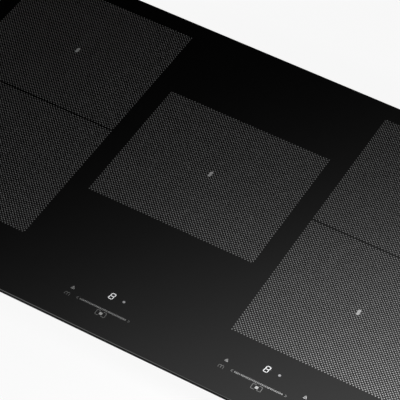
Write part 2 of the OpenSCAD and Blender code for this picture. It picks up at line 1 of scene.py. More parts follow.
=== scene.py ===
"""Looks of a built-in induction hob: printed glass, lit figures, coil springs and every other finish."""
import json
import logging
import math
from dataclasses import dataclass, field
from enum import Enum

import bmesh
import bpy
from mathutils import Matrix, Vector


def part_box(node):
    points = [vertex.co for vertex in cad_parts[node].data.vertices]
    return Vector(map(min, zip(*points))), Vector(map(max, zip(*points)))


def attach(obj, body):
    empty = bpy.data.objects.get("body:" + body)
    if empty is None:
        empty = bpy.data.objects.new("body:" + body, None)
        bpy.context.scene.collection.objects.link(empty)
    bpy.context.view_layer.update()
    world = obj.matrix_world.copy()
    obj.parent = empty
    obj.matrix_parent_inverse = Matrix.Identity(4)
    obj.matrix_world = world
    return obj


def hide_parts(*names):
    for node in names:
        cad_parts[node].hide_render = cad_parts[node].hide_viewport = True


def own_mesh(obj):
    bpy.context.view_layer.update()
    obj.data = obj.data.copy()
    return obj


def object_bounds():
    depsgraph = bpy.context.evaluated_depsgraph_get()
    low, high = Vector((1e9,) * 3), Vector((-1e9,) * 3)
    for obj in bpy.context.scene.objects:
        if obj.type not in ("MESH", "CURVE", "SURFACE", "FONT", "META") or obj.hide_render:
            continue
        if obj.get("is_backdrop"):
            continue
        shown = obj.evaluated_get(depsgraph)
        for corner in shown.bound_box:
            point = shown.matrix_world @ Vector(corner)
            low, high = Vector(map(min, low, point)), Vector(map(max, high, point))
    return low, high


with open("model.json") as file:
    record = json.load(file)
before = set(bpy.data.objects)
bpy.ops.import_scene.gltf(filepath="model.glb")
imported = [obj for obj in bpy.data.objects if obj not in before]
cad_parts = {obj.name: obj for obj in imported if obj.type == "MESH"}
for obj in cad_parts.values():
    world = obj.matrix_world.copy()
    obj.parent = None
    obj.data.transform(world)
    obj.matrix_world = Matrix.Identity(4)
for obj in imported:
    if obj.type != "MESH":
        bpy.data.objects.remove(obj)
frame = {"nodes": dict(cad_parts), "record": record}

LOG = logging.getLogger("hob")
MM = 0.001
FLOOR_DROP = 1.4 * MM  # clears the beads under the tray
Colour = tuple[float, float, float]
Point = tuple[float, float]
ZONES = ("left_front", "left_back", "centre", "right_front", "right_back")


# ---------- node helpers ----------


@dataclass
class Wires:
    """Adds nodes to one node tree and joins them up."""

    tree: bpy.types.NodeTree

    def add(self, kind: str, **settings: object) -> bpy.types.Node:
        """Adds one node.

        Args:
            kind: Blender's name of the node type.
            **settings: attributes set on the new node.

        Returns:
            The new node.
        """
        node = self.tree.nodes.new(kind)
        for key, value in settings.items():
            setattr(node, key, value)
        return node

    def join(self, source: bpy.types.NodeSocket, target: bpy.types.NodeSocket) -> None:
        """Links an output socket to an input socket."""
        self.tree.links.new(source, target)

    def feed(self, target: bpy.types.NodeSocket, value: object) -> None:
        """Gives a socket a number, a colour or another node's output.

        Args:
            target: the input socket.
            value: a socket to link, or a value to set on the socket itself.
        """
        if isinstance(value, bpy.types.NodeSocket):
            self.join(value, target)
        else:
            target.default_value = value

    def maths(self, operation: str, a: object, b: object = 0.0) -> bpy.types.NodeSocket:
        """Adds a Math node.

        Args:
            operation: the operation's name.
            a: first number or socket.
            b: second number or socket.

        Returns:
            The node's output socket.
        """
        node = self.add("ShaderNodeMath", operation=operation)
        self.feed(node.inputs[0], a)
        self.feed(node.inputs[1], b)
        return node.outputs[0]

    def spread(self, value: bpy.types.NodeSocket, low: float, high: float,
               start: float = 0.0, end: float = 1.0) -> bpy.types.NodeSocket:
        """Maps a number from start..end to low..high.

        Args:
            value: the socket to map.
            low: result at start.
            high: result at end.
            start: where the mapped range starts.
            end: where the mapped range ends.

        Returns:
            The mapped socket.
        """
        node = self.add("ShaderNodeMapRange")
        self.join(value, node.inputs["Value"])
        for name, number in (("From Min", start), ("From Max", end), ("To Min", low), ("To Max", high)):
            node.inputs[name].default_value = number
        return node.outputs["Result"]

    def shade(self, value: bpy.types.NodeSocket, dark: Colour, light: Colour) -> bpy.types.NodeSocket:
        """Turns a number into a colour between two others.

        Args:
            value: mixing number, 0 to 1.
            dark: colour at 0.
            light: colour at 1.

        Returns:
            The colour socket.
        """
        node = self.add("ShaderNodeMix", data_type="RGBA")
        self.join(value, node.inputs["Factor"])
        colours = [socket for socket in node.inputs if socket.type == "RGBA"]
        colours[0].default_value = (*dark, 1.0)
        colours[1].default_value = (*light, 1.0)
        return next(socket for socket in node.outputs if socket.type == "RGBA")

    def place(self, stretch: tuple[float, float, float] = (1.0, 1.0, 1.0)) -> bpy.types.NodeSocket:
        """Object coordinates, stretched.

        Args:
            stretch: how much the pattern is scaled along each axis.

        Returns:
            The vector socket.
        """
        coords = self.add("ShaderNodeTexCoord")
        mapping = self.add("ShaderNodeMapping")
        mapping.inputs["Scale"].default_value = stretch
        self.join(coords.outputs["Object"], mapping.inputs["Vector"])
        return mapping.outputs["Vector"]

    def noise(self, vector: bpy.types.NodeSocket, scale: float, detail: float = 4.0) -> bpy.types.NodeSocket:
        """Adds a noise pattern.

        Args:
            vector: where the pattern is read.
            scale: patches per metre.
            detail: octaves of finer noise.

        Returns:
            The noise value.
        """
        node = self.add("ShaderNodeTexNoise")
        self.join(vector, node.inputs["Vector"])
        node.inputs["Scale"].default_value = scale
        node.inputs["Detail"].default_value = detail
        return node.outputs["Fac"]


# ---------- finishes ----------


class Grain(Enum):
    """How a finish varies over its surface."""

    CLOUDY = "cloudy"
    BRUSHED = "brushed"
    SPANGLED = "spangled"
    MOULDED = "moulded"
    FLAKED = "flaked"
    TRACKED = "tracked"
    BRAIDED = "braided"
    POROUS = "porous"


@dataclass(frozen=True)
class Finish:
    """One surface finish: two colours that its grain mixes, and how it shines."""

    name: str
    dark: Colour
    light: Colour
    grain: Grain = Grain.CLOUDY
    scale: float = 60.0
    rough: tuple[float, float] = (0.4, 0.55)
    metallic: float = 0.0
    bump: float = 0.0003
    specular: float = 0.5
    coat: float = 0.0
    glow: float = 0.0

    def pattern(self, wires: Wires) -> bpy.types.NodeSocket:
        """Builds the grain.

        Args:
            wires: the material's node helper.

        Returns:
            A number from 0 to 1 over the surface.
        """
        fine = wires.noise(wires.place(), self.scale * 14.0, 3.0)
        broad = wires.noise(wires.place(), self.scale, 5.0)
        if self.grain is Grain.BRUSHED:
            streaks = wires.noise(wires.place((1.0, 40.0, 40.0)), self.scale, 5.0)
            return wires.maths("ADD", wires.maths("MULTIPLY", streaks, 0.75),
                               wires.maths("MULTIPLY", broad, 0.25))
        if self.grain is Grain.SPANGLED:
            cells = wires.add("ShaderNodeTexVoronoi", feature="F1")
            wires.join(wires.place(), cells.inputs["Vector"])
            cells.inputs["Scale"].default_value = self.scale
            tone = wires.add("ShaderNodeSeparateColor")
            wires.join(cells.outputs["Color"], tone.inputs["Color"])
            mixed = wires.maths("MULTIPLY", tone.outputs[0], 0.7)
            return wires.maths("ADD", mixed, wires.maths("MULTIPLY", broad, 0.3))
        if self.grain is Grain.FLAKED:
            cells = wires.add("ShaderNodeTexVoronoi", feature="SMOOTH_F1")
            wires.join(wires.place((1.0, 1.0, 3.0)), cells.inputs["Vector"])
            cells.inputs["Scale"].default_value = self.scale
            return wires.maths("ADD", wires.maths("MULTIPLY", cells.outputs["Distance"], 0.8),
                               wires.maths("MULTIPLY", fine, 0.3))
        if self.grain is Grain.TRACKED:
            tracks = wires.add("ShaderNodeTexBrick", offset=0.37, offset_frequency=3, squash=0.6)
            wires.join(wires.place(), tracks.inputs["Vector"])
            tracks.inputs["Scale"].default_value = self.scale
            tracks.inputs["Mortar Size"].default_value = 0.09
            tracks.inputs["Color1"].default_value = (0.25, 0.25, 0.25, 1.0)
            tracks.inputs["Color2"].default_value = (0.05, 0.05, 0.05, 1.0)
            tracks.inputs["Mortar"].default_value = (1.0, 1.0, 1.0, 1.0)
            tone = wires.add("ShaderNodeSeparateColor")
            wires.join(tracks.outputs["Color"], tone.inputs["Color"])
            return wires.maths("ADD", wires.maths("MULTIPLY", tone.outputs[0], 0.75),
                               wires.maths("MULTIPLY", broad, 0.25))
        if self.grain is Grain.BRAIDED:
            lay = wires.add("ShaderNodeTexWave", wave_type="BANDS", bands_direction="DIAGONAL")
            wires.join(wires.place(), lay.inputs["Vector"])
            lay.inputs["Scale"].default_value = self.scale
            lay.inputs["Distortion"].default_value = 1.5
            return wires.maths("ADD", wires.maths("MULTIPLY", lay.outputs["Fac"], 0.7),
                               wires.maths("MULTIPLY", fine, 0.3))
        if self.grain is Grain.MOULDED:
            return wires.maths("ADD", wires.maths("MULTIPLY", fine, 0.6), wires.maths("MULTIPLY", broad, 0.4))
        if self.grain is Grain.POROUS:
            pits = wires.add("ShaderNodeTexVoronoi", feature="F1")
            wires.join(wires.place(), pits.inputs["Vector"])
            pits.inputs["Scale"].default_value = self.scale * 10.0
            return wires.maths("ADD", wires.maths("MULTIPLY", pits.outputs["Distance"], 0.7),
                               wires.maths("MULTIPLY", broad, 0.4))
        return wires.maths("ADD", wires.maths("MULTIPLY", broad, 0.7), wires.maths("MULTIPLY", fine, 0.3))

    def material(self) -> bpy.types.Material:
        """Builds the finish as a node material.

        Returns:
            The material, made once and then shared.
        """
        known = bpy.data.materials.get(self.name)
        if known:
            return known
        made = bpy.data.materials.new(self.name)
        made.use_nodes = True
        wires = Wires(made.node_tree)
        shader = made.node_tree.nodes["Principled BSDF"]
        grain = wires.spread(self.pattern(wires), 0.0, 1.0, 0.25, 0.75)
        wires.join(wires.shade(grain, self.dark, self.light), shader.inputs["Base Color"])
        wires.join(wires.spread(grain, *self.rough), shader.inputs["Roughness"])
        shader.inputs["Metallic"].default_value = self.metallic
        shader.inputs["Specular IOR Level"].default_value = self.specular
        shader.inputs["Coat Weight"].default_value = self.coat
        if self.glow:
            shader.inputs["Emission Color"].default_value = (*self.light, 1.0)
            shader.inputs["Emission Strength"].default_value = self.glow
        if self.bump:
            relief = wires.add("ShaderNodeBump")
            relief.inputs["Strength"].default_value = 0.5
            relief.inputs["Distance"].default_value = self.bump
            wires.join(grain, relief.inputs["Height"])
            wires.join(relief.outputs["Normal"], shader.inputs["Normal"])
        return made


GLASS = Finish("ceramic_glass_black", (0.0002, 0.0002, 0.0002), (0.0005, 0.0005, 0.0005), scale=9.0,
               rough=(0.035, 0.075), bump=0.000002)
GROUND_EDGE = Finish("ground_glass_edge", (0.0012, 0.0012, 0.0012), (0.003, 0.003, 0.003),
                     Grain.MOULDED, 120.0, rough=(0.3, 0.45), bump=0.00003, specular=0.06)
INK = Finish("fired_ink_grey", (0.30, 0.30, 0.30), (0.36, 0.36, 0.36), Grain.CLOUDY, 45.0,
             rough=(0.50, 0.58), bump=0.000005, specular=0.3)
MARK_INK = Finish("fired_ink_light", (0.52, 0.52, 0.52), (0.66, 0.66, 0.66), Grain.CLOUDY, 200.0,
                  rough=(0.35, 0.5), metallic=0.2, bump=0.00001)
DIM_INK = Finish("fired_ink_dim", (0.22, 0.22, 0.22), (0.33, 0.33, 0.33), Grain.CLOUDY, 200.0,
                 rough=(0.4, 0.5), metallic=0.3, bump=0.00001)
LIT = Finish("lit_white", (0.5, 0.5, 0.51), (0.7, 0.71, 0.72), Grain.CLOUDY, 300.0,
             rough=(0.4, 0.5), bump=0.0, glow=0.75)
LIT_DIM = Finish("lit_low", (0.2, 0.2, 0.21), (0.3, 0.3, 0.31), Grain.CLOUDY, 300.0,
                 rough=(0.4, 0.5), bump=0.0, glow=0.45)
GALVANISED = Finish("galvanised_steel", (0.33, 0.345, 0.36), (0.46, 0.475, 0.49), Grain.SPANGLED, 170.0,
                    rough=(0.30, 0.42), metallic=1.0, bump=0.00002)
WELD = Finish("weld_mark", (0.20, 0.20, 0.21), (0.40, 0.40, 0.41), Grain.CLOUDY, 400.0,
              rough=(0.35, 0.5), metallic=1.0, bump=0.00005)
FOIL = Finish("plate_foil", (0.52, 0.53, 0.54), (0.66, 0.67, 0.68), Grain.BRUSHED, 60.0,
              rough=(0.3, 0.4), metallic=0.9, bump=0.00001)
FOIL_PRINT = Finish("plate_print", (0.02, 0.02, 0.02), (0.04, 0.04, 0.04), Grain.MOULDED, 200.0,
                    rough=(0.45, 0.6), bump=0.00001)
STEEL_WIRE = Finish("spring_wire", (0.35, 0.35, 0.36), (0.55, 0.55, 0.56), Grain.BRUSHED, 300.0,
                    rough=(0.22, 0.35), metallic=1.0)

SLOT_FINISHES = {
    "glass_ceramic": GLASS,
    "foam_tape": Finish("foam_tape", (0.006, 0.006, 0.006), (0.018, 0.018, 0.019), Grain.POROUS, 90.0,
                        rough=(0.85, 0.98), bump=0.0006, specular=0.2),
    "silicone": Finish("silicone_bead", (0.02, 0.02, 0.021), (0.035, 0.035, 0.037), Grain.CLOUDY, 70.0,
                       rough=(0.3, 0.45), bump=0.0003),
    "frame_steel": Finish("frame_steel", (0.42, 0.43, 0.44), (0.60, 0.61, 0.62), Grain.BRUSHED, 25.0,
                          rough=(0.28, 0.42), metallic=1.0, bump=0.00005),
    "tray_steel": GALVANISED,
    "screw_steel": Finish("zinc_screw", (0.40, 0.41, 0.43), (0.62, 0.63, 0.64), Grain.CLOUDY, 300.0,
                          rough=(0.22, 0.36), metallic=1.0, bump=0.00005),
    "deck_aluminium": Finish("rolled_aluminium", (0.62, 0.63, 0.64), (0.80, 0.81, 0.82), Grain.BRUSHED, 20.0,
                             rough=(0.25, 0.4), metallic=1.0, bump=0.00004),
    "mica": Finish("mica_sheet", (0.36, 0.28, 0.17), (0.66, 0.57, 0.40), Grain.FLAKED, 130.0,
                   rough=(0.35, 0.6), bump=0.0001),
    "spring_steel": STEEL_WIRE,
    "circuit_board": Finish("circuit_board", (0.010, 0.085, 0.028), (0.05, 0.22, 0.08), Grain.TRACKED, 110.0,
                            rough=(0.25, 0.4), bump=0.00005, coat=0.3),
    "heatsink_aluminium": Finish("drawn_aluminium", (0.55, 0.56, 0.57), (0.74, 0.75, 0.76),
                                 Grain.BRUSHED, 45.0, rough=(0.3, 0.45), metallic=1.0, bump=0.00005),
    "black_moulding": Finish("black_moulding", (0.010, 0.010, 0.011), (0.024, 0.024, 0.026),
                             Grain.MOULDED, 120.0, rough=(0.4, 0.6), bump=0.0002),
    "grey_moulding": Finish("grey_moulding", (0.045, 0.047, 0.05), (0.075, 0.077, 0.08), Grain.MOULDED, 120.0,
                            rough=(0.4, 0.6), bump=0.0002),
    "white_moulding": Finish("white_moulding", (0.62, 0.59, 0.52), (0.76, 0.73, 0.66), Grain.MOULDED, 120.0,
                             rough=(0.35, 0.5), bump=0.0001),
    "capacitor_film": Finish("capacitor_film", (0.42, 0.30, 0.04), (0.58, 0.43, 0.08), Grain.CLOUDY, 80.0,
                             rough=(0.25, 0.4), bump=0.0001, coat=0.3),
    "copper_winding": Finish("copper_litz", (0.36, 0.13, 0.05), (0.72, 0.32, 0.15), Grain.BRAIDED, 260.0,
                             rough=(0.3, 0.5), metallic=0.9, bump=0.0002),
    "ferrite": Finish("ferrite", (0.018, 0.018, 0.020), (0.045, 0.045, 0.048), Grain.POROUS, 60.0,
                      rough=(0.5, 0.7), bump=0.0001),
    "sensor_ceramic": Finish("sensor_ceramic", (0.70, 0.69, 0.66), (0.84, 0.83, 0.80), Grain.POROUS, 90.0,
                             rough=(0.5, 0.7), bump=0.0001),
    "contact_brass": Finish("contact_brass", (0.45, 0.32, 0.13), (0.66, 0.50, 0.24), Grain.BRUSHED, 200.0,
                            rough=(0.25, 0.4), metallic=1.0),
    "clamp_brass": Finish("turned_brass", (0.48, 0.35, 0.14), (0.70, 0.53, 0.25), Grain.BRUSHED, 160.0,
                          rough=(0.22, 0.38), metallic=1.0, bump=0.00005),
    "wire_jacket": Finish("wire_jacket", (0.10, 0.05, 0.03), (0.22, 0.12, 0.07), Grain.MOULDED, 150.0,
                          rough=(0.4, 0.55), bump=0.0001),
}


# ---------- mesh helpers ----------


def finished(name: str, mesh: bpy.types.Mesh, *finishes: Finish) -> bpy.types.Object:
    """Makes an object at the origin from a mesh, dressed in its finishes.

    Args:
        name: the piece's name.
        mesh: mesh data whose points are already in place.
        *finishes: the finish of each material slot.

    Returns:
        The linked object.
    """
    piece = bpy.data.objects.new(name, mesh)
    bpy.context.scene.collection.objects.link(piece)
    for finish in finishes:
        mesh.materials.append(finish.material())
    LOG.info("%s: %d faces", name, len(mesh.polygons))
    return piece


def prism(shape: bmesh.types.BMesh, outline: list[Point], low: float, high: float, slot: int = 0) -> None:
    """Adds a closed prism.

    Args:
        shape: mesh that receives it.
        outline: corners seen from above, anticlockwise, in metres.
        low: level of the bottom.
        high: level of the top.
        slot: material slot of its faces.
    """
    below = [shape.verts.new((x, y, low)) for x, y in outline]
    above = [shape.verts.new((x, y, high)) for x, y in outline]
    count = len(outline)
    faces = [shape.faces.new(above), shape.faces.new(below[::-1])]
    for i in range(count):
        j = (i + 1) % count
        faces.append(shape.faces.new((below[i], below[j], above[j], above[i])))
    for face in faces:
        face.material_index = slot


def bar(start: Point, end: Point, width: float) -> list[Point]:
    """Outline of a straight stroke with pointed ends.

    Args:
        start: middle of one end.
        end: middle of the other end.
        width: the stroke's width.

    Returns:
        Six corners, anticlockwise.
    """
    along = (Vector(end) - Vector(start)).normalized()
    side = Vector((-along.y, along.x)) * width / 2
    tip = along * width / 2
    a, b = Vector(start), Vector(end)
    return [tuple(p) for p in (a - tip, a - side, b - side, b + tip, b + side, a + side)]


def offset(at: Point, by: Point) -> Point:
    """A point moved by a step."""
    return at[0] + by[0], at[1] + by[1]


def disc(centre: Point, radius: float, sides: int = 16) -> list[Point]:
    """Outline of a round dot.

    Args:
        centre: middle of the dot.
        radius: its radius.
        sides: how many corners it has.

    Returns:
        The corners, anticlockwise.
    """
    turns = [i * math.tau / sides for i in range(sides)]
    return [(centre[0] + radius * math.cos(a), centre[1] + radius * math.sin(a)) for a in turns]


def round_rect(width: float, depth: float, radius: float, steps: int = 10) -> list[Point]:
    """Outline of a rectangle with round corners, centred.

    Args:
        width: size along X.
        depth: size along Y.
        radius: corner radius.
        steps: segments in each corner.

    Returns:
        The corners, anticlockwise.
    """
    points = []
    for quarter, (sx, sy) in enumerate(((1, 1), (-1, 1), (-1, -1), (1, -1))):
        cx, cy = sx * (width / 2 - radius), sy * (depth / 2 - radius)
        for i in range(steps + 1):
            angle = (quarter + i / steps) * math.pi / 2
            points.append((cx + radius * math.cos(angle), cy + radius * math.sin(angle)))
    return points


def to_mesh(shape: bmesh.types.BMesh, name: str, smooth: bool = False) -> bpy.types.Mesh:
    """Turns a bmesh into mesh data with its faces outward.

    Args:
        shape: the bmesh, freed afterwards.
        name: name of the mesh.
        smooth: whether gentle edges are shaded smooth.

    Returns:
        The mesh.
    """
    bmesh.ops.recalc_face_normals(shape, faces=shape.faces)
    mesh = bpy.data.meshes.new(name)
    shape.to_mesh(mesh)
    shape.free()
    if smooth:
        mesh.polygons.foreach_set("use_smooth", [True] * len(mesh.polygons))
        mesh.set_sharp_from_angle(angle=math.radians(32))
    return mesh


@dataclass
class Grower:
    """A Geometry Nodes tree with named sizes, turned into a plain mesh."""

    name: str
    sizes: dict[str, float]
    finish: Finish
    wires: Wires = field(init=False)
    inlet: bpy.types.Node = field(init=False)

    def __post_init__(self) -> None:
        """Makes the tree and its named inputs."""
        tree = bpy.data.node_groups.new(self.name, "GeometryNodeTree")
        tree.interface.new_socket("Geometry", in_out="OUTPUT", socket_type="NodeSocketGeometry")
        for label, value in self.sizes.items():
            kind = "NodeSocketInt" if isinstance(value, int) else "NodeSocketFloat"
            tree.interface.new_socket(label, in_out="INPUT", socket_type=kind)
        self.wires = Wires(tree)
        self.inlet = self.wires.add("NodeGroupInput")

    def size(self, label: str) -> bpy.types.NodeSocket:
        """The output socket of one named size."""
        return self.inlet.outputs[label]

    def vector(self, x: object, y: object, z: object) -> bpy.types.NodeSocket:
        """Combines three numbers or sockets into a vector.

        Args:
            x: first component.
            y: second component.
            z: third component.

        Returns:
            The vector socket.
        """
        node = self.wires.add("ShaderNodeCombineXYZ")
        for socket, value in zip(node.inputs, (x, y, z)):
            self.wires.feed(socket, value)
        return node.outputs[0]

    def grow(self, geometry: bpy.types.NodeSocket) -> bpy.types.Object:
        """Closes the tree and makes the piece.

        Args:
            geometry: the last geometry of the tree, still instanced.

        Returns:
            The piece, with the modifier removed.
        """
        wires = self.wires
        real = wires.add("GeometryNodeRealizeInstances")
        dressed = wires.add("GeometryNodeSetMaterial")
        outlet = wires.add("NodeGroupOutput")
        dressed.inputs["Material"].default_value = self.finish.material()
        wires.join(geometry, real.inputs[0])
        wires.join(real.outputs[0], dressed.inputs["Geometry"])
        wires.join(dressed.outputs[0], outlet.inputs[0])
        piece = bpy.data.objects.new(self.name, bpy.data.meshes.new(self.name))
        bpy.context.scene.collection.objects.link(piece)
        modifier = piece.modifiers.new("grow", "NODES")
        modifier.node_group = wires.tree
        for item in wires.tree.interface.items_tree:
            if item.in_out == "INPUT":
                modifier[item.identifier] = self.sizes[item.name]
        view = bpy.context.evaluated_depsgraph_get()
        plain = bpy.data.meshes.new_from_object(piece.evaluated_get(view), depsgraph=view)
        piece.modifiers.remove(modifier)
        piece.data = plain
        LOG.info("%s: %d faces", self.name, len(plain.polygons))
        return piece


# ---------- the hob ----------


@dataclass
class Layout:
    """Places that the other classes share, taken from the frame."""

    zone_w: float = 226 * MM
    zone_d: float = 200.3 * MM
    slider_inset: float = 37 * MM
    slider_beside: float = 50 * MM
    glass_low: Vector = field(init=False)
    glass_high: Vector = field(init=False)
    zones: dict[str, Vector] = field(init=False)

    def __post_init__(self) -> None:
        """Reads the glass and the zones from the frame."""
        self.glass_low, self.glass_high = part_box("glass_plate")
        self.zones = {}
        for zone in ZONES:
            low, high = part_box("carrier_" + zone)
            self.zones[zone] = (low + high) / 2

    @property
    def top(self) -> float:
        """Level of the glass's upper face."""
        return self.glass_high.z

    def sliders(self) -> dict[str, Point]:
        """Middle of each zone's touch slider.

        Returns:
            Zone name to x and y.
        """
        column = self.zones["right_back"].x
        beside = self.slider_beside
        places = {
            "left_front": -column - beside,
            "left_back": -column + beside,
            "centre": 0.0,
            "right_back": column - beside,
            "right_front": column + beside,
        }
        y = self.glass_low.y + self.slider_inset
        return {zone: (x, y) for zone, x in places.items()}


@dataclass
class GlassPlate:
    """The glass-ceramic plate with its bevelled, ground edge."""

    layout: Layout
    corner: float = 6 * MM
    bevel: float = 0.85 * MM
    arris: float = 0.3 * MM
    soft: float = 0.15 * MM
    bevel_ring: int = 3

    def rings(self) -> list[tuple[float, float]]:
        """Inset and level of each ring round the plate, from the underside up.

        Returns:
            Pairs of inset and level.
        """
        low, top = self.layout.glass_low.z, self.layout.top
        soft = self.soft
        return [
            (self.arris, low),
            (0.0, low + self.arris),
            (0.0, top - self.bevel - soft),
            (soft * 0.6, top - self.bevel + soft * 0.6),
            (self.bevel - soft * 0.8, top - soft * 0.8),
            (self.bevel + soft, top),
        ]

    def build(self) -> bpy.types.Object:
        """Makes the plate.

        Returns:
            The piece, which stands for the frame's glass.
        """
        width = self.layout.glass_high.x - self.layout.glass_low.x
        depth = self.layout.glass_high.y - self.layout.glass_low.y
        shape = bmesh.new()
        loops = []
        for inset, level in self.rings():
            outline = round_rect(width - 2 * inset, depth - 2 * inset, self.corner - inset)
            loops.append([shape.verts.new((x, y, level)) for x, y in outline])
        for step, (below, above) in enumerate(zip(loops, loops[1:])):
            count = len(below)
            for i in range(count):
                j = (i + 1) % count
                face = shape.faces.new((below[i], below[j], above[j], above[i]))
                face.material_index = 1 if step < self.bevel_ring else 0
        shape.faces.new(loops[-1])
        shape.faces.new(loops[0][::-1])
        mesh = to_mesh(shape, "glass_top", smooth=True)
        around = len(loops[0])
        for face in mesh.polygons:
            on_bevel = face.index // around == self.bevel_ring
            face.use_smooth = len(face.vertices) == 4 and not on_bevel
        piece = finished("glass_top", mesh, GLASS, GROUND_EDGE)
        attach(piece, "housing")
        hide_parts("glass_plate")
        return piece


@dataclass
class ZonePrint:
    """Fired dots that mark one cooking zone, and the light mark in its middle."""

    layout: Layout
    columns: int = 57
    rows: int = 94
    dot_r: float = 0.80 * MM
    dot_sides: int = 8
    raised: float = 0.04 * MM
    mark_w: float = 3.9 * MM
    mark_d: float = 9.0 * MM
    mark_cut: float = 0.6
    mark_lift: float = 1.6

    def dots(self, zone: str) -> bpy.types.Object:
        """Makes the staggered lattice of dots over one zone.

        Args:
            zone: the zone's name.

        Returns:
            The piece.
        """
        middle = self.layout.zones[zone]
        pitch = (self.layout.zone_w - 2 * self.dot_r) / (self.columns - 0.5)
        grower = Grower("zone_dots_" + zone, {
            "Columns": self.columns,
            "Rows": self.rows,
            "Column Pitch": pitch,
            "Row Pitch": (self.layout.zone_d - 2 * self.dot_r) / (self.rows - 1),
            "Dot Radius": self.dot_r,
            "Dot Height": 2 * self.raised,
            "Middle X": middle.x,
            "Middle Y": middle.y,
            "Level": self.layout.top,
        }, INK)
        wires, size = grower.wires, grower.size
        across = wires.maths("SUBTRACT", size("Columns"), 1.0)
        along = wires.maths("SUBTRACT", size("Rows"), 1.0)
        grid = wires.add("GeometryNodeMeshGrid")
        wires.join(wires.maths("MULTIPLY", across, size("Column Pitch")), grid.inputs["Size X"])
        wires.join(wires.maths("MULTIPLY", along, size("Row Pitch")), grid.inputs["Size Y"])
        wires.join(size("Columns"), grid.inputs["Vertices X"])
        wires.join(size("Rows"), grid.inputs["Vertices Y"])
        place = wires.add("ShaderNodeSeparateXYZ")
        wires.join(wires.add("GeometryNodeInputPosition").outputs[0], place.inputs[0])
        steps = wires.maths("DIVIDE", place.outputs["Y"], size("Row Pitch"))
        row = wires.maths("ROUND", wires.maths("ADD", steps, wires.maths("DIVIDE", along, 2.0)))
        swing = wires.maths("SUBTRACT", wires.maths("MODULO", row, 2.0), 0.5)
        shift = wires.maths("MULTIPLY", swing, wires.maths("DIVIDE", size("Column Pitch"), 2.0))
        moved = wires.add("GeometryNodeSetPosition")
        wires.join(grid.outputs["Mesh"], moved.inputs["Geometry"])
        across_by = wires.maths("ADD", shift, size("Middle X"))
        wires.join(grower.vector(across_by, size("Middle Y"), size("Level")), moved.inputs["Offset"])
        dot = wires.add("GeometryNodeMeshCylinder")
        dot.inputs["Vertices"].default_value = self.dot_sides
        wires.join(size("Dot Radius"), dot.inputs["Radius"])
        wires.join(size("Dot Height"), dot.inputs["Depth"])
        scatter = wires.add("GeometryNodeInstanceOnPoints")
        wires.join(moved.outputs[0], scatter.inputs["Points"])
        wires.join(dot.outputs["Mesh"], scatter.inputs["Instance"])
        piece = grower.grow(scatter.outputs[0])
        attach(piece, "housing")
        return piece

    def mark(self, zone: str) -> bpy.types.Object:
        """Makes the light mark in the middle of one zone.

        Args:
            zone: the zone's name.

        Returns:
            The piece.
        """
        middle = self.layout.zones[zone]
        half_w, half_d = self.mark_w / 2, self.mark_d / 2
        cut = half_w * self.mark_cut
        outline = [
            (half_w, -half_d + cut), (half_w, half_d - cut),
            (half_w - cut, half_d), (cut - half_w, half_d),
            (-half_w, half_d - cut), (-half_w, cut - half_d),
            (cut - half_w, -half_d), (half_w - cut, -half_d),
        ]
        shape = bmesh.new()
        top = self.layout.top
        placed = [(middle.x + x, middle.y + y) for x, y in outline]
        prism(shape, placed, top, top + self.mark_lift * self.raised)
        piece = finished("zone_mark_" + zone, to_mesh(shape, "zone_mark"), MARK_INK)
        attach(piece, "housing")
        return piece


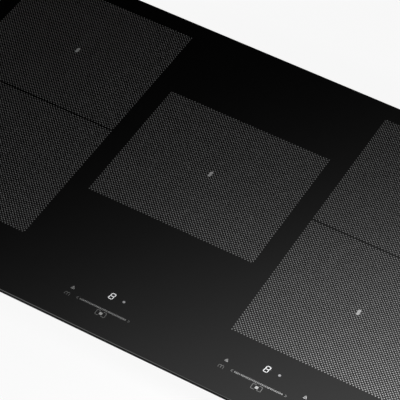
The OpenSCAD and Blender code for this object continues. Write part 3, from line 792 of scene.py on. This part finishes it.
@dataclass
class TouchField:
    """One zone's touch slider: scale, arrows, icons, lit figure and lit dot."""

    layout: Layout
    raised: float = 0.04 * MM
    scale_from: float = -30.5 * MM
    scale_to: float = 31.5 * MM
    scale_h: float = 2.0 * MM
    strokes: int = 30
    stroke_w: float = 0.45 * MM
    stroke_turn: float = 1.0
    less_at: Point = (-33.5 * MM, 0.0)
    more_at: Point = (35.2 * MM, 0.0)
    boost_at: Point = (-45.3 * MM, 10.1 * MM)
    key_at: Point = (-46.6 * MM, -0.8 * MM)
    pick_at: Point = (2.0 * MM, -6.7 * MM)
    figure_at: Point = (-0.3 * MM, 22.6 * MM)
    spot_at: Point = (15.7 * MM, 22.1 * MM)
    spot_r: float = 1.7 * MM
    arrow_line: float = 0.6 * MM
    icon_line: float = 0.55 * MM
    box_line: float = 0.7 * MM
    figure_line: float = 0.95 * MM
    figure_half: Point = (2.5, 4.4)
    figure_lean: float = 0.16
    figure_gap: float = 0.14
    pick_half: float = 1.9 * MM

    def scale(self, zone: str, at: Point) -> bpy.types.Object:
        """Makes the row of crossed strokes along the slider.

        Args:
            zone: the zone's name.
            at: middle of the slider.

        Returns:
            The piece.
        """
        grower = Grower("slider_scale_" + zone, {
            "Strokes": self.strokes,
            "Pitch": (self.scale_to - self.scale_from) / self.strokes,
            "Start X": at[0] + self.scale_from,
            "Middle Y": at[1],
            "Level": self.layout.top,
            "Stroke Length": self.scale_h * 1.25,
            "Stroke Width": self.stroke_w,
            "Stroke Height": 2 * self.raised,
        }, MARK_INK)
        wires, size = grower.wires, grower.size
        row = wires.add("GeometryNodeMeshLine")
        wires.join(size("Strokes"), row.inputs["Count"])
        first = wires.maths("ADD", size("Start X"), wires.maths("DIVIDE", size("Pitch"), 2.0))
        wires.join(grower.vector(first, size("Middle Y"), size("Level")), row.inputs["Start Location"])
        wires.join(grower.vector(size("Pitch"), 0.0, 0.0), row.inputs["Offset"])
        stroke = wires.add("GeometryNodeMeshCube")
        wires.join(grower.vector(size("Stroke Length"), size("Stroke Width"), size("Stroke Height")),
                   stroke.inputs["Size"])
        pair = wires.add("GeometryNodeJoinGeometry")
        for angle in (-self.stroke_turn, self.stroke_turn):
            turned = wires.add("GeometryNodeTransform")
            turned.inputs["Rotation"].default_value = (0.0, 0.0, angle)
            wires.join(stroke.outputs["Mesh"], turned.inputs["Geometry"])
            wires.join(turned.outputs[0], pair.inputs[0])
        scatter = wires.add("GeometryNodeInstanceOnPoints")
        wires.join(row.outputs[0], scatter.inputs["Points"])
        wires.join(pair.outputs[0], scatter.inputs["Instance"])
        piece = grower.grow(scatter.outputs[0])
        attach(piece, "housing")
        return piece

    def strokes_at(self, shape: bmesh.types.BMesh, at: Point, lines: list[list[Point]], width: float,
                   slot: int = 0) -> None:
        """Adds a small drawing made of straight strokes.

        Args:
            shape: mesh that receives it.
            at: the drawing's middle.
            lines: chains of points in millimetres from the middle.
            width: stroke width in metres.
            slot: material slot.
        """
        top = self.layout.top
        for chain in lines:
            for start, end in zip(chain, chain[1:]):
                a = (at[0] + start[0] * MM, at[1] + start[1] * MM)
                b = (at[0] + end[0] * MM, at[1] + end[1] * MM)
                prism(shape, bar(a, b, width), top, top + self.raised, slot)

    def icons(self, zone: str, at: Point) -> bpy.types.Object:
        """Makes the printed arrows and icons round one slider.

        Args:
            zone: the zone's name.
            at: middle of the slider.

        Returns:
            The piece.
        """
        shape = bmesh.new()
        less = [[(1.2, 1.6), (-1.2, 0.0), (1.2, -1.6)]]
        more = [[(-1.2, 1.6), (1.2, 0.0), (-1.2, -1.6)]]
        self.strokes_at(shape, offset(at, self.less_at), less, self.arrow_line, 1)
        self.strokes_at(shape, offset(at, self.more_at), more, self.arrow_line, 1)
        boost = [[(-2.2, -1.8), (0.0, 2.2), (2.2, -1.8), (-2.2, -1.8)], [(-1.0, -0.4), (1.0, -0.4)]]
        self.strokes_at(shape, offset(at, self.boost_at), boost, self.icon_line)
        key = [
            [(-2.9, -2.4), (-3.2, 0.6), (-1.6, 2.4), (-0.4, 0.8)],
            [(0.4, 0.8), (1.6, 2.4), (3.2, 0.6), (2.9, -2.4)],
            [(0.0, -2.6), (0.0, 1.4)],
        ]
        self.strokes_at(shape, offset(at, self.key_at), key, self.icon_line, 1)
        left_box = [[(-2.0, 3.6), (-6.2, 3.6), (-6.2, -3.6), (-2.0, -3.6)]]
        right_box = [[(2.0, 3.6), (6.2, 3.6), (6.2, -3.6), (2.0, -3.6)]]
        pick = offset(at, self.pick_at)
        self.strokes_at(shape, pick, left_box + right_box, self.box_line, 1)
        half = self.pick_half
        square = [(pick[0] + sx * half, pick[1] + sy * half)
                  for sx, sy in ((1, -1), (1, 1), (-1, 1), (-1, -1))]
        prism(shape, square, self.layout.top, self.layout.top + self.raised)
        piece = finished("touch_icons_" + zone, to_mesh(shape, "touch_icons"), MARK_INK, DIM_INK)
        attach(piece, "housing")
        return piece

    def figure(self, zone: str, at: Point) -> bpy.types.Object:
        """Makes the lit seven-bar figure and the lit dot beside it.

        Args:
            zone: the zone's name.
            at: middle of the slider.

        Returns:
            The piece.
        """
        shape = bmesh.new()
        middle = offset(at, self.figure_at)
        w, h = self.figure_half
        lean = self.figure_lean
        corner = {
            "tl": (-w + lean * h, h), "tr": (w + lean * h, h), "ml": (-w, 0.0), "mr": (w, 0.0),
            "bl": (-w - lean * h, -h), "br": (w - lean * h, -h),
        }
        bars = (("tl", "tr"), ("ml", "mr"), ("bl", "br"), ("tl", "ml"), ("tr", "mr"), ("ml", "bl"),
                ("mr", "br"))
        for first, last in bars:
            a, b = Vector(corner[first]), Vector(corner[last])
            along = (b - a) * self.figure_gap
            self.strokes_at(shape, middle, [[tuple(a + along), tuple(b - along)]], self.figure_line)
        spot = disc(offset(at, self.spot_at), self.spot_r)
        prism(shape, spot, self.layout.top, self.layout.top + self.raised, 1)
        piece = finished("lit_figure_" + zone, to_mesh(shape, "lit_figure"), LIT, LIT_DIM)
        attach(piece, "housing")
        return piece


@dataclass
class TrayPressings:
    """Stiffening beads, weld marks and the blank plate on the tray."""

    layout: Layout
    bead_w: float = 9 * MM
    bead_h: float = 1.3 * MM
    bead_pitch: float = 40 * MM
    bead_sides: int = 24
    side_reach: Point = (-0.100, 0.085)
    middle_reach: Point = (-0.165, 0.175)
    weld_r: float = 2.6 * MM
    weld_h: float = 0.3 * MM
    weld_marks: int = 8
    weld_pitch: float = 52 * MM
    weld_rise: float = 9 * MM
    plate_w: float = 92 * MM
    plate_d: float = 46 * MM
    plate_corner: float = 3 * MM
    plate_margin: float = 4 * MM
    rule: float = 0.5 * MM
    foil_t: float = 0.2 * MM
    print_t: float = 0.04 * MM

    def bead(self, shape: bmesh.types.BMesh, start: Point, end: Point, level: float) -> None:
        """Adds one rounded bead that stands down from the tray floor.

        Args:
            shape: mesh that receives it.
            start: middle of its front end.
            end: middle of its back end.
            level: underside of the tray.
        """
        rings = []
        for inset, drop in ((0.0, -0.1 * MM), (0.0, 0.0), (0.22, 0.55), (0.36, 0.88), (0.47, 1.0)):
            radius = self.bead_w * (0.5 - inset)
            fall = drop if drop <= 0 else drop * self.bead_h
            ring = []
            for i in range(self.bead_sides):
                angle = i * math.tau / self.bead_sides
                middle = end if angle < math.pi else start
                ring.append(shape.verts.new((middle[0] + radius * math.cos(angle),
                                             middle[1] + radius * math.sin(angle), level - fall)))
            rings.append(ring)
        for upper, lower in zip(rings, rings[1:]):
            for i in range(self.bead_sides):
                j = (i + 1) % self.bead_sides
                shape.faces.new((upper[i], upper[j], lower[j], lower[i]))
        shape.faces.new(rings[0])
        shape.faces.new(rings[-1][::-1])

    def beads(self) -> bpy.types.Object:
        """Makes the beads of the tray floor.

        Returns:
            The piece.
        """
        shape = bmesh.new()
        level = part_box("base_tray")[0].z
        side = self.layout.zones["right_back"].x
        for column in (-side, 0.0, side):
            reach = self.side_reach if column else self.middle_reach
            for step in (-2, -1, 0, 1, 2):
                x = column + step * self.bead_pitch
                if column == 0.0 and step == 0:
                    continue
                self.bead(shape, (x, reach[0]), (x, reach[1]), level)
        piece = finished("tray_beads", to_mesh(shape, "tray_beads", smooth=True), GALVANISED)
        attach(piece, "housing")
        return piece

    def welds(self) -> bpy.types.Object:
        """Makes the row of weld marks along each side wall.

        Returns:
            The piece.
        """
        low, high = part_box("base_tray")
        grower = Grower("tray_welds", {
            "Marks": self.weld_marks,
            "Pitch": self.weld_pitch,
            "Wall X": high.x,
            "Mark Radius": self.weld_r,
            "Mark Height": self.weld_h,
            "Level": low.z + self.weld_rise,
        }, WELD)
        wires, size = grower.wires, grower.size
        mark = wires.add("GeometryNodeMeshCylinder")
        mark.inputs["Vertices"].default_value = 16
        wires.join(size("Mark Radius"), mark.inputs["Radius"])
        wires.join(size("Mark Height"), mark.inputs["Depth"])
        both = wires.add("GeometryNodeJoinGeometry")
        span = wires.maths("MULTIPLY", wires.maths("SUBTRACT", size("Marks"), 1.0), size("Pitch"))
        for side in (-1.0, 1.0):
            row = wires.add("GeometryNodeMeshLine")
            wires.join(size("Marks"), row.inputs["Count"])
            first = wires.maths("MULTIPLY", span, -0.5)
            wires.join(grower.vector(wires.maths("MULTIPLY", size("Wall X"), side), first, size("Level")),
                       row.inputs["Start Location"])
            wires.join(grower.vector(0.0, size("Pitch"), 0.0), row.inputs["Offset"])
            scatter = wires.add("GeometryNodeInstanceOnPoints")
            scatter.inputs["Rotation"].default_value = (0.0, math.pi / 2, 0.0)
            wires.join(row.outputs[0], scatter.inputs["Points"])
            wires.join(mark.outputs["Mesh"], scatter.inputs["Instance"])
            wires.join(scatter.outputs[0], both.inputs[0])
        piece = grower.grow(both.outputs[0])
        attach(piece, "housing")
        return piece

    def plate(self) -> bpy.types.Object:
        """Makes the blank foil plate, ruled but without lettering.

        Returns:
            The piece.
        """
        shape = bmesh.new()
        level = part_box("base_tray")[0].z
        foil = self.foil_t
        outline = round_rect(self.plate_w, self.plate_d, self.plate_corner, 4)
        prism(shape, outline, level - foil, level + 0.05 * MM)
        below = level - foil - self.print_t
        inner_w, inner_d = self.plate_w / 2 - self.plate_margin, self.plate_d / 2 - self.plate_margin
        lines = [((-inner_w, y), (inner_w, y)) for y in (-inner_d, -inner_d / 3, inner_d / 3, inner_d)]
        lines += [((x, -inner_d), (x, inner_d)) for x in (-inner_w, 0.0, inner_w)]
        for start, end in lines:
            prism(shape, bar(start, end, self.rule), below, level - foil * 0.9, 1)
        piece = finished("blank_plate", to_mesh(shape, "blank_plate"), FOIL, FOIL_PRINT)
        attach(piece, "housing")
        return piece


@dataclass
class ModuleSprings:
    """The four wire springs under one coil module."""

    layout: Layout
    wire_r: float = 0.55 * MM
    coil_r: float = 4.25 * MM
    turns: float = 4.5
    inset_x: float = 9 * MM
    inset_y: float = 17 * MM
    travel_kept: float = 6 / 9
    steps_per_turn: int = 20
    wire_sides: int = 8

    def build(self, zone: str) -> bpy.types.Object:
        """Makes the springs.

        Args:
            zone: the zone's name.

        Returns:
            The piece.
        """
        foot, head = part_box("coil_springs")
        low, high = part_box("carrier_" + zone)
        grower = Grower("module_springs_" + zone, {
            "Turns": self.turns,
            "Coil Radius": self.coil_r,
            "Wire Radius": self.wire_r,
            "Spring Height": head.z - foot.z - 2 * self.wire_r,
            "Foot Level": foot.z + self.wire_r,
            "Middle X": (low.x + high.x) / 2,
            "Middle Y": (low.y + high.y) / 2,
            "Reach X": high.x - low.x - 2 * self.inset_x,
            "Reach Y": high.y - low.y - 2 * self.inset_y,
        }, STEEL_WIRE)
        wires, size = grower.wires, grower.size
        spiral = wires.add("GeometryNodeCurveSpiral")
        spiral.inputs["Resolution"].default_value = self.steps_per_turn
        wires.join(size("Turns"), spiral.inputs["Rotations"])
        wires.join(size("Coil Radius"), spiral.inputs["Start Radius"])
        wires.join(size("Coil Radius"), spiral.inputs["End Radius"])
        wires.join(size("Spring Height"), spiral.inputs["Height"])
        circle = wires.add("GeometryNodeCurvePrimitiveCircle")
        circle.inputs["Resolution"].default_value = self.wire_sides
        wires.join(size("Wire Radius"), circle.inputs["Radius"])
        swept = wires.add("GeometryNodeCurveToMesh")
        swept.inputs["Fill Caps"].default_value = True
        wires.join(spiral.outputs["Curve"], swept.inputs["Curve"])
        wires.join(circle.outputs["Curve"], swept.inputs["Profile Curve"])
        corners = wires.add("GeometryNodeMeshGrid")
        corners.inputs["Vertices X"].default_value = 2
        corners.inputs["Vertices Y"].default_value = 2
        wires.join(size("Reach X"), corners.inputs["Size X"])
        wires.join(size("Reach Y"), corners.inputs["Size Y"])
        moved = wires.add("GeometryNodeSetPosition")
        wires.join(corners.outputs["Mesh"], moved.inputs["Geometry"])
        middle = grower.vector(size("Middle X"), size("Middle Y"), size("Foot Level"))
        wires.join(middle, moved.inputs["Offset"])
        scatter = wires.add("GeometryNodeInstanceOnPoints")
        wires.join(moved.outputs[0], scatter.inputs["Points"])
        wires.join(swept.outputs[0], scatter.inputs["Instance"])
        piece = grower.grow(scatter.outputs[0])
        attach(piece, "housing")
        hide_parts("coil_springs")
        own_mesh(piece)
        return piece


# ---------- studio ----------


@dataclass
class Studio:
    """Camera, pale floor, and soft light from overhead."""

    floor_level: float
    azimuth: float = 26.38
    elevation: float = 46.49
    roll: float = 4.33
    distance: float = 2.5416
    aim: tuple[float, float, float] = (0.0025, -0.007, 0.006)
    lens: float = 189.37
    shift: Point = (0.0075, -0.015)
    paper: float = 0.94
    paper_grey: float = 0.07
    paper_light: float = 0.925
    paper_reach: float = 6.0
    paper_t: float = 0.02
    glow_from: tuple[float, float, float] = (-0.31, 0.61, 0.73)
    glow_peak: float = 1.6
    glow_start: float = 26.1
    glow_slope: Point = (11.64, 37.15)
    glow_edge: Point = (24.0, 11.0)
    horizon_end: float = 0.13
    night: float = 0.004

    def camera(self) -> None:
        """Places the camera."""
        a, e, r = (math.radians(v) for v in (self.azimuth, self.elevation, self.roll))
        forward = Vector((-math.sin(a) * math.cos(e), math.cos(a) * math.cos(e), -math.sin(e)))
        level = Vector((math.cos(a), math.sin(a), 0.0))
        upward = level.cross(forward)
        right = math.cos(r) * level + math.sin(r) * upward
        up = right.cross(forward)
        data = bpy.data.cameras.new("camera")
        data.lens = self.lens
        data.shift_x, data.shift_y = self.shift
        data.clip_end = 50.0
        camera = bpy.data.objects.new("camera", data)
        bpy.context.scene.collection.objects.link(camera)
        turn = Matrix((right, up, -forward)).transposed().to_4x4()
        camera.matrix_world = Matrix.Translation(Vector(self.aim) - forward * self.distance) @ turn
        bpy.context.scene.camera = camera

    def floor(self) -> None:
        """Lays the pale floor."""
        shape = bmesh.new()
        far = self.paper_reach
        sheet = [(far, -far), (far, far), (-far, far), (-far, -far)]
        prism(shape, sheet, self.floor_level - self.paper_t, self.floor_level)
        mesh = to_mesh(shape, "floor")
        floor = bpy.data.objects.new("floor", mesh)
        bpy.context.scene.collection.objects.link(floor)
        paper = bpy.data.materials.new("paper")
        paper.use_nodes = True
        shader = paper.node_tree.nodes["Principled BSDF"]
        shader.inputs["Base Color"].default_value = (self.paper_grey, self.paper_grey, self.paper_grey, 1.0)
        shader.inputs["Roughness"].default_value = 0.9
        shader.inputs["Specular IOR Level"].default_value = 0.0
        shader.inputs["Emission Color"].default_value = (1.0, 1.0, 1.0, 1.0)
        shader.inputs["Emission Strength"].default_value = self.paper_light
        mesh.materials.append(paper)
        floor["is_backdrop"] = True

    def sky(self) -> None:
        """Makes the surroundings: dark overhead, pale round the horizon, with one soft glow."""
        world = bpy.data.worlds.new("studio")
        bpy.context.scene.world = world
        world.use_nodes = True
        wires = Wires(world.node_tree)
        background = world.node_tree.nodes["Background"]
        way = wires.add("ShaderNodeSeparateXYZ")
        coords = wires.add("ShaderNodeTexCoord")
        wires.join(coords.outputs["Generated"], way.inputs[0])
        slope = wires.maths("ADD", wires.maths("MULTIPLY", way.outputs["X"], self.glow_slope[0]),
                            wires.maths("MULTIPLY", way.outputs["Z"], self.glow_slope[1]))
        rise = wires.maths("EXPONENT", wires.maths("SUBTRACT", self.glow_start, slope))
        glow = wires.maths("DIVIDE", self.glow_peak, wires.maths("ADD", rise, 1.0))
        facing = wires.add("ShaderNodeVectorMath", operation="DOT_PRODUCT")
        wires.join(coords.outputs["Generated"], facing.inputs[0])
        facing.inputs[1].default_value = Vector(self.glow_from).normalized()
        outer, inner = (math.cos(math.radians(angle)) for angle in self.glow_edge)
        window = wires.spread(facing.outputs["Value"], 0.0, 1.0, outer, inner)
        horizon = wires.spread(way.outputs["Z"], self.paper, 0.0, 0.0, self.horizon_end)
        light = wires.maths("ADD", wires.maths("MAXIMUM", horizon, self.night),
                            wires.maths("MULTIPLY", glow, window))
        wires.join(light, background.inputs["Color"])

    def lamp(self, name: str, place: tuple[float, float, float], size: Point, power: float,
             down: bool = False) -> None:
        """Adds one soft area light that faces the hob.

        Args:
            name: the light's name.
            place: where it stands.
            size: its width and height.
            power: its power in watts.
            down: whether it faces straight down instead.
        """
        data = bpy.data.lights.new(name, "AREA")
        data.shape = "RECTANGLE"
        data.size, data.size_y = size
        data.energy = power
        lamp = bpy.data.objects.new(name, data)
        bpy.context.scene.collection.objects.link(lamp)
        lamp.location = place
        if not down:
            lamp.rotation_euler = (-Vector(place)).to_track_quat("-Z", "Y").to_euler()
        lamp.visible_camera = False

    def build(self) -> None:
        """Sets up the whole studio."""
        self.camera()
        self.floor()
        self.sky()
        self.lamp("front_strip", (-0.95, -2.57, 1.65), (2.0, 0.35), 5.2)
        self.lamp("near_softbox", (0.47, -0.36, 0.34), (0.16, 0.16), 4.1, down=True)
        bpy.context.scene.view_settings.view_transform = "Standard"


def dress_frame_nodes() -> None:
    """Gives every node of the frame the finish of its material slot."""
    for row in frame["record"]["subparts"]:
        node = frame["nodes"][row["node"]]
        finish = SLOT_FINISHES[row["material_slot"]]
        node.data.materials.clear()
        node.data.materials.append(finish.material())
        LOG.info("%s wears %s", row["node"], finish.name)


def corners(box: tuple) -> list[list[float]]:
    """The two corners of a box as plain lists."""
    return [[float(v) for v in corner] for corner in box]


def main() -> None:
    """Builds the hob's looks and the studio."""
    logging.basicConfig(level=logging.INFO, format="%(message)s")
    cad_box = corners(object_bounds())
    layout = Layout()
    Studio(floor_level=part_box("base_tray")[0].z - FLOOR_DROP).build()
    dress_frame_nodes()
    GlassPlate(layout).build()
    prints = ZonePrint(layout)
    touch = TouchField(layout)
    springs = ModuleSprings(layout)
    tray = TrayPressings(layout)
    tray.beads()
    tray.welds()
    tray.plate()
    sliders = layout.sliders()
    for zone in ZONES:
        prints.dots(zone)
        prints.mark(zone)
        springs.build(zone)
        touch.scale(zone, sliders[zone])
        touch.icons(zone, sliders[zone])
        touch.figure(zone, sliders[zone])
    {"cad": cad_box, "visual": corners(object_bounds())}


if __name__ == "__main__":
    main()
